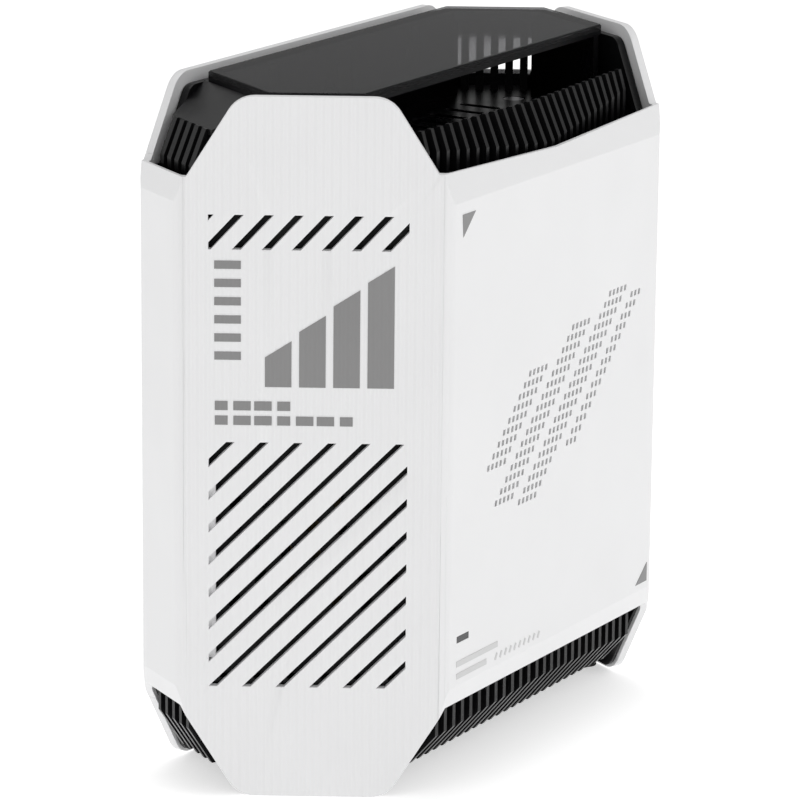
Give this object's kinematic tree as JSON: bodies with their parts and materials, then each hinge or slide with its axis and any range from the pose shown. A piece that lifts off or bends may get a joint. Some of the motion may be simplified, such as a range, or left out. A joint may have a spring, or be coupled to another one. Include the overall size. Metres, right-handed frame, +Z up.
{
  "type": "wireless router",
  "caption": "Upright hexagonal mesh router with a white arched shell, black ribbed vents above and below, a smoked top window, slotted flanks and rear network sockets.",
  "frame": {"origin": "on the table, under the middle of the body's bounding box", "axes": "+Z up, -Y out of the perforated long panel (front), +Y out of the rear with the sockets, +X to the right as seen from the front"},
  "size_m": [0.1868, 0.0824, 0.192],
  "materials": {
    "white_shell": "fine satin moulding, fluted on the flanks",
    "vent_black": "satin black moulding",
    "rim_black": "polished black",
    "smoked_window": "smoked, polished",
    "rubber_pad": "matt black",
    "frame_black": "black structural moulding",
    "board_green": "solder mask",
    "chip_black": "moulded package",
    "pad_grey": "soft thermal pad",
    "sink_aluminium": "extruded, plain",
    "can_steel": "tinned sheet",
    "screw_steel": "zinc plated",
    "liner_black": "matt black",
    "aerial_board": "etched board",
    "clip_black": "matt black",
    "diffuser_grey": "milky, unlit",
    "lens_dark": "dark lens",
    "ink_grey": "screen print",
    "ink_faint": "light screen print",
    "plate_silver": "blank plate",
    "bezel_black": "fine texture",
    "wan_blue": "moulded",
    "lan_grey": "moulded",
    "contact_brass": "plated",
    "usb_steel": "plated sheet",
    "usb_blue": "moulded",
    "jack_black": "moulded",
    "pin_chrome": "plated",
    "button_black": "satin",
    "switch_grey": "moulded"
  },
  "bodies": {
    "housing": {"aerial_clips": "clip_black", "base_plate": "frame_black", "base_screws": "screw_steel", "board_screws": "screw_steel", "bottom_vent_skirt": "vent_black", "button_switches": "switch_grey", "chassis_frame": "frame_black", "chassis_screws": "screw_steel", "dot_diffuser": "diffuser_grey", "faint_marks": "ink_faint", "flank_aerials": "aerial_board", "front_aerials": "aerial_board", "front_chips": "chip_black", "front_heat_sink": "sink_aluminium", "front_light_board": "board_green", "io_bezel": "bezel_black", "jack_contacts": "contact_brass", "lan_jacks": "lan_grey", "left_liner": "liner_black", "light_board": "board_green", "main_board": "board_green", "power_jack": "jack_black", "power_pin": "pin_chrome", "printed_marks": "ink_grey", "rating_plate": "plate_silver", "rear_heat_sink": "sink_aluminium", "rear_shell": "white_shell", "rear_shell_screws": "screw_steel", "right_liner": "liner_black", "rubber_feet": "rubber_pad", "shield_cans": "can_steel", "status_lens": "lens_dark", "thermal_pads": "pad_grey", "top_vent_crown": "vent_black", "top_window": "smoked_window", "usb_port": "usb_steel", "usb_tongue": "usb_blue", "wan_jack": "wan_blue", "window_rim": "rim_black", "wrap_shell": "white_shell"},
    "power_key": {"power_button": "button_black"},
    "pairing_key": {"pairing_button": "button_black"},
    "reset_key": {"reset_button": "button_black"}
  },
  "joints": [
    {"name": "power_press", "type": "slide", "parent": "housing", "child": "power_key", "axis": [0, -1, 0], "range_m": [0, 0.0015], "stiffness_N_per_m": 900},
    {"name": "pairing_press", "type": "slide", "parent": "housing", "child": "pairing_key", "axis": [0, -1, 0], "range_m": [0, 0.001], "stiffness_N_per_m": 1200},
    {"name": "reset_press", "type": "slide", "parent": "housing", "child": "reset_key", "axis": [0, -1, 0], "range_m": [0, 0.0008], "stiffness_N_per_m": 1200}
  ]
}
